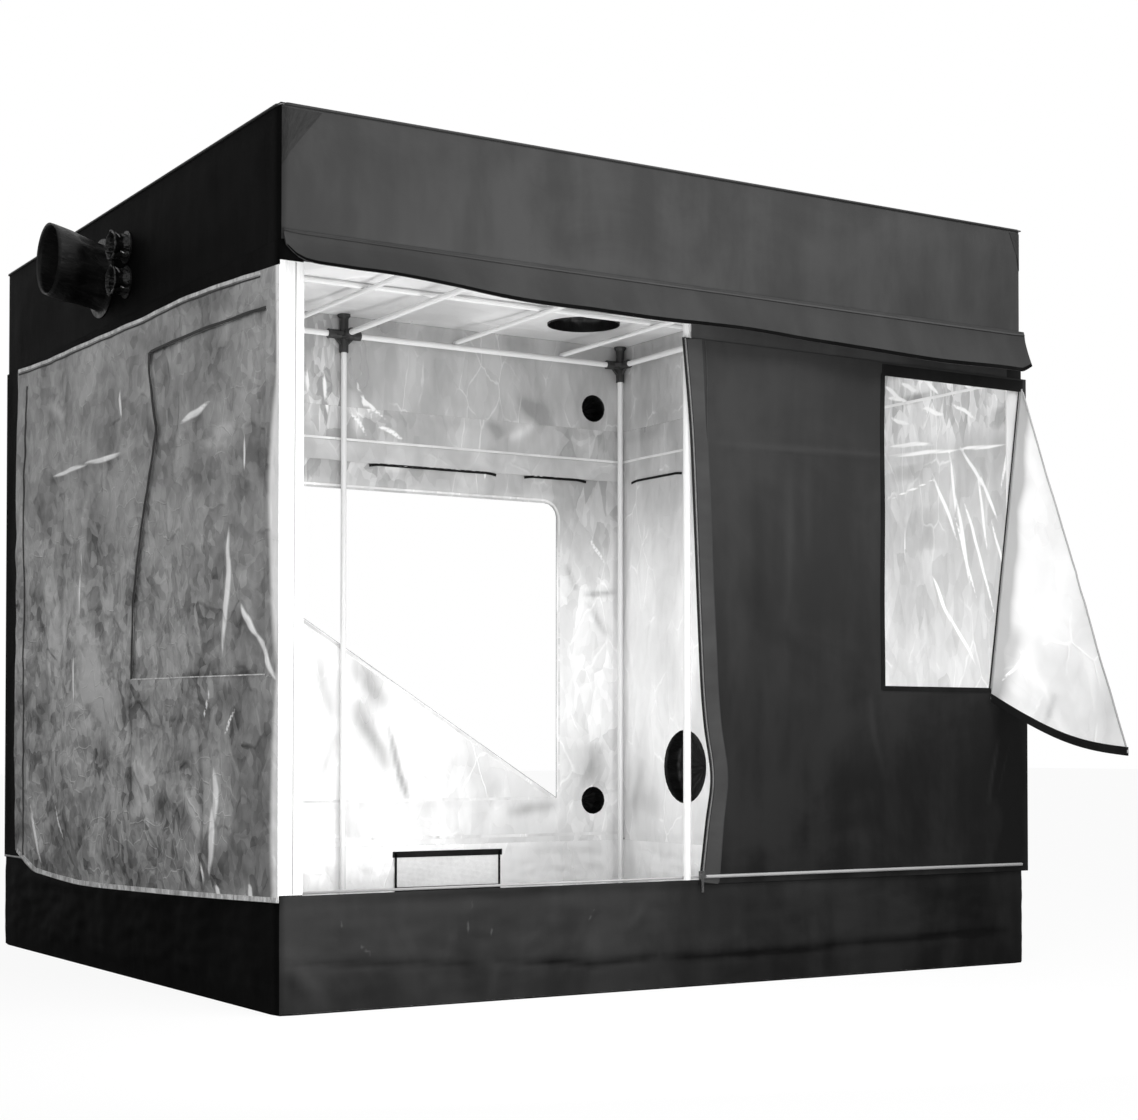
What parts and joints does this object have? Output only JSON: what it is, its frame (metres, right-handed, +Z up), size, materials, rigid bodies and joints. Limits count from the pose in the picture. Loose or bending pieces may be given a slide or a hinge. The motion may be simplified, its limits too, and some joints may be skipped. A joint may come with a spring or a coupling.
{
  "type": "indoor grow tent",
  "caption": "Box-shaped cloth tent on a tube frame, with two hinged front doors, half-open window flaps, a rear opening and duct sleeves",
  "frame": {"origin": "on the floor, under the middle of the tent's footprint, at the underside of the ground sheet", "axes": "+Z up, -Y towards the front with its doors, +X to the right as seen from the front"},
  "size_m": [2.548, 2.5374, 2.05],
  "materials": {
    "cover_cloth": "woven polyester, satin",
    "silver_lining": "silver reflective film on cloth",
    "sleeve_cloth": "soft matt cloth",
    "vent_mesh": "woven mesh",
    "tube_paint": "powder coated, satin",
    "connector_plastic": "moulded, satin",
    "zip_metal": "black painted metal"
  },
  "bodies": {
    "tent": {"base_connector_front_left": "connector_plastic", "base_connector_front_middle": "connector_plastic", "base_connector_front_right": "connector_plastic", "base_connector_rear_left": "connector_plastic", "base_connector_rear_middle": "connector_plastic", "base_connector_rear_right": "connector_plastic", "base_rail_front_left": "tube_paint", "base_rail_front_right": "tube_paint", "base_rail_left": "tube_paint", "base_rail_rear_left": "tube_paint", "base_rail_rear_right": "tube_paint", "base_rail_right": "tube_paint", "cable_sleeve_left_lower": "sleeve_cloth", "cable_sleeve_left_upper": "sleeve_cloth", "cable_sleeve_rear_lower": "sleeve_cloth", "cable_sleeve_rear_upper": "sleeve_cloth", "duct_sleeve_left": "sleeve_cloth", "duct_sleeve_right": "sleeve_cloth", "duct_sleeve_roof": "sleeve_cloth", "front_valance": "cover_cloth", "ground_sheet": "cover_cloth", "left_wall": "cover_cloth", "middle_beam": "tube_paint", "rear_flap_zipped_half": "cover_cloth", "rear_vent_mesh_left": "vent_mesh", "rear_vent_mesh_right": "vent_mesh", "rear_wall": "cover_cloth", "right_wall": "cover_cloth", "roof": "cover_cloth", "sill_ring": "cover_cloth", "top_band": "cover_cloth", "top_connector_front_left": "connector_plastic", "top_connector_front_middle": "connector_plastic", "top_connector_front_right": "connector_plastic", "top_connector_rear_left": "connector_plastic", "top_connector_rear_middle": "connector_plastic", "top_connector_rear_right": "connector_plastic", "top_rail_front_left": "tube_paint", "top_rail_front_right": "tube_paint", "top_rail_left": "tube_paint", "top_rail_rear_left": "tube_paint", "top_rail_rear_right": "tube_paint", "top_rail_right": "tube_paint", "upright_front_left": "tube_paint", "upright_front_middle": "tube_paint", "upright_front_right": "tube_paint", "upright_rear_left": "tube_paint", "upright_rear_middle": "tube_paint", "upright_rear_right": "tube_paint"},
    "left_door": {"left_door": "silver_lining"},
    "left_window_flap": {"left_window_flap": "silver_lining"},
    "right_door": {"right_door": "cover_cloth"},
    "right_window_flap": {"right_window_flap": "silver_lining"},
    "rear_flap": {"rear_flap": "cover_cloth"},
    "zip_slider": {"door_zip_slider": "zip_metal"},
    "bar_left": {"hanging_bar_left": "tube_paint"},
    "bar_centre": {"hanging_bar_centre": "tube_paint"},
    "bar_right": {"hanging_bar_right": "tube_paint"},
    "bar_cross": {"hanging_bar_cross": "tube_paint"}
  },
  "joints": [
    {"name": "left_door_hinge", "type": "hinge", "parent": "tent", "child": "left_door", "pos_m": [-1.1045, -1.0045, 0.9], "axis": [0, 0, 1], "range_deg": [-4, 255]},
    {"name": "left_window_flap_hinge", "type": "hinge", "parent": "left_door", "child": "left_window_flap", "pos_m": [-1.10848, -0.95924, 1.15], "axis": [0, 0, -1], "range_deg": [0, 11]},
    {"name": "right_door_hinge", "type": "hinge", "parent": "tent", "child": "right_door", "pos_m": [1.1045, -1.0045, 0.9], "axis": [0, 0, 1], "range_deg": [0, 165]},
    {"name": "right_window_flap_hinge", "type": "hinge", "parent": "right_door", "child": "right_window_flap", "pos_m": [1.088, -1.0108, 1.562], "axis": [-0.1357, 0, -0.9908], "range_deg": [-70, 98]},
    {"name": "rear_flap_hinge", "type": "hinge", "parent": "tent", "child": "rear_flap", "pos_m": [-0.825, 1.0043, 1.43], "axis": [0.8506, 0, -0.5258], "range_deg": [0, 178]},
    {"name": "door_zip_slide", "type": "slide", "parent": "right_door", "child": "zip_slider", "axis": [0, 0, 1], "range_m": [0, 1.3]},
    {"name": "bar_left_slide", "type": "slide", "parent": "tent", "child": "bar_left", "axis": [1, 0, 0], "range_m": [-0.78, 0.12]},
    {"name": "bar_centre_slide", "type": "slide", "parent": "tent", "child": "bar_centre", "axis": [1, 0, 0], "range_m": [-0.34, 0.38]},
    {"name": "bar_right_slide", "type": "slide", "parent": "tent", "child": "bar_right", "axis": [1, 0, 0], "range_m": [-0.38, 0.16]},
    {"name": "bar_cross_slide", "type": "slide", "parent": "tent", "child": "bar_cross", "axis": [0, 1, 0], "range_m": [-1.3, 0.44]}
  ]
}
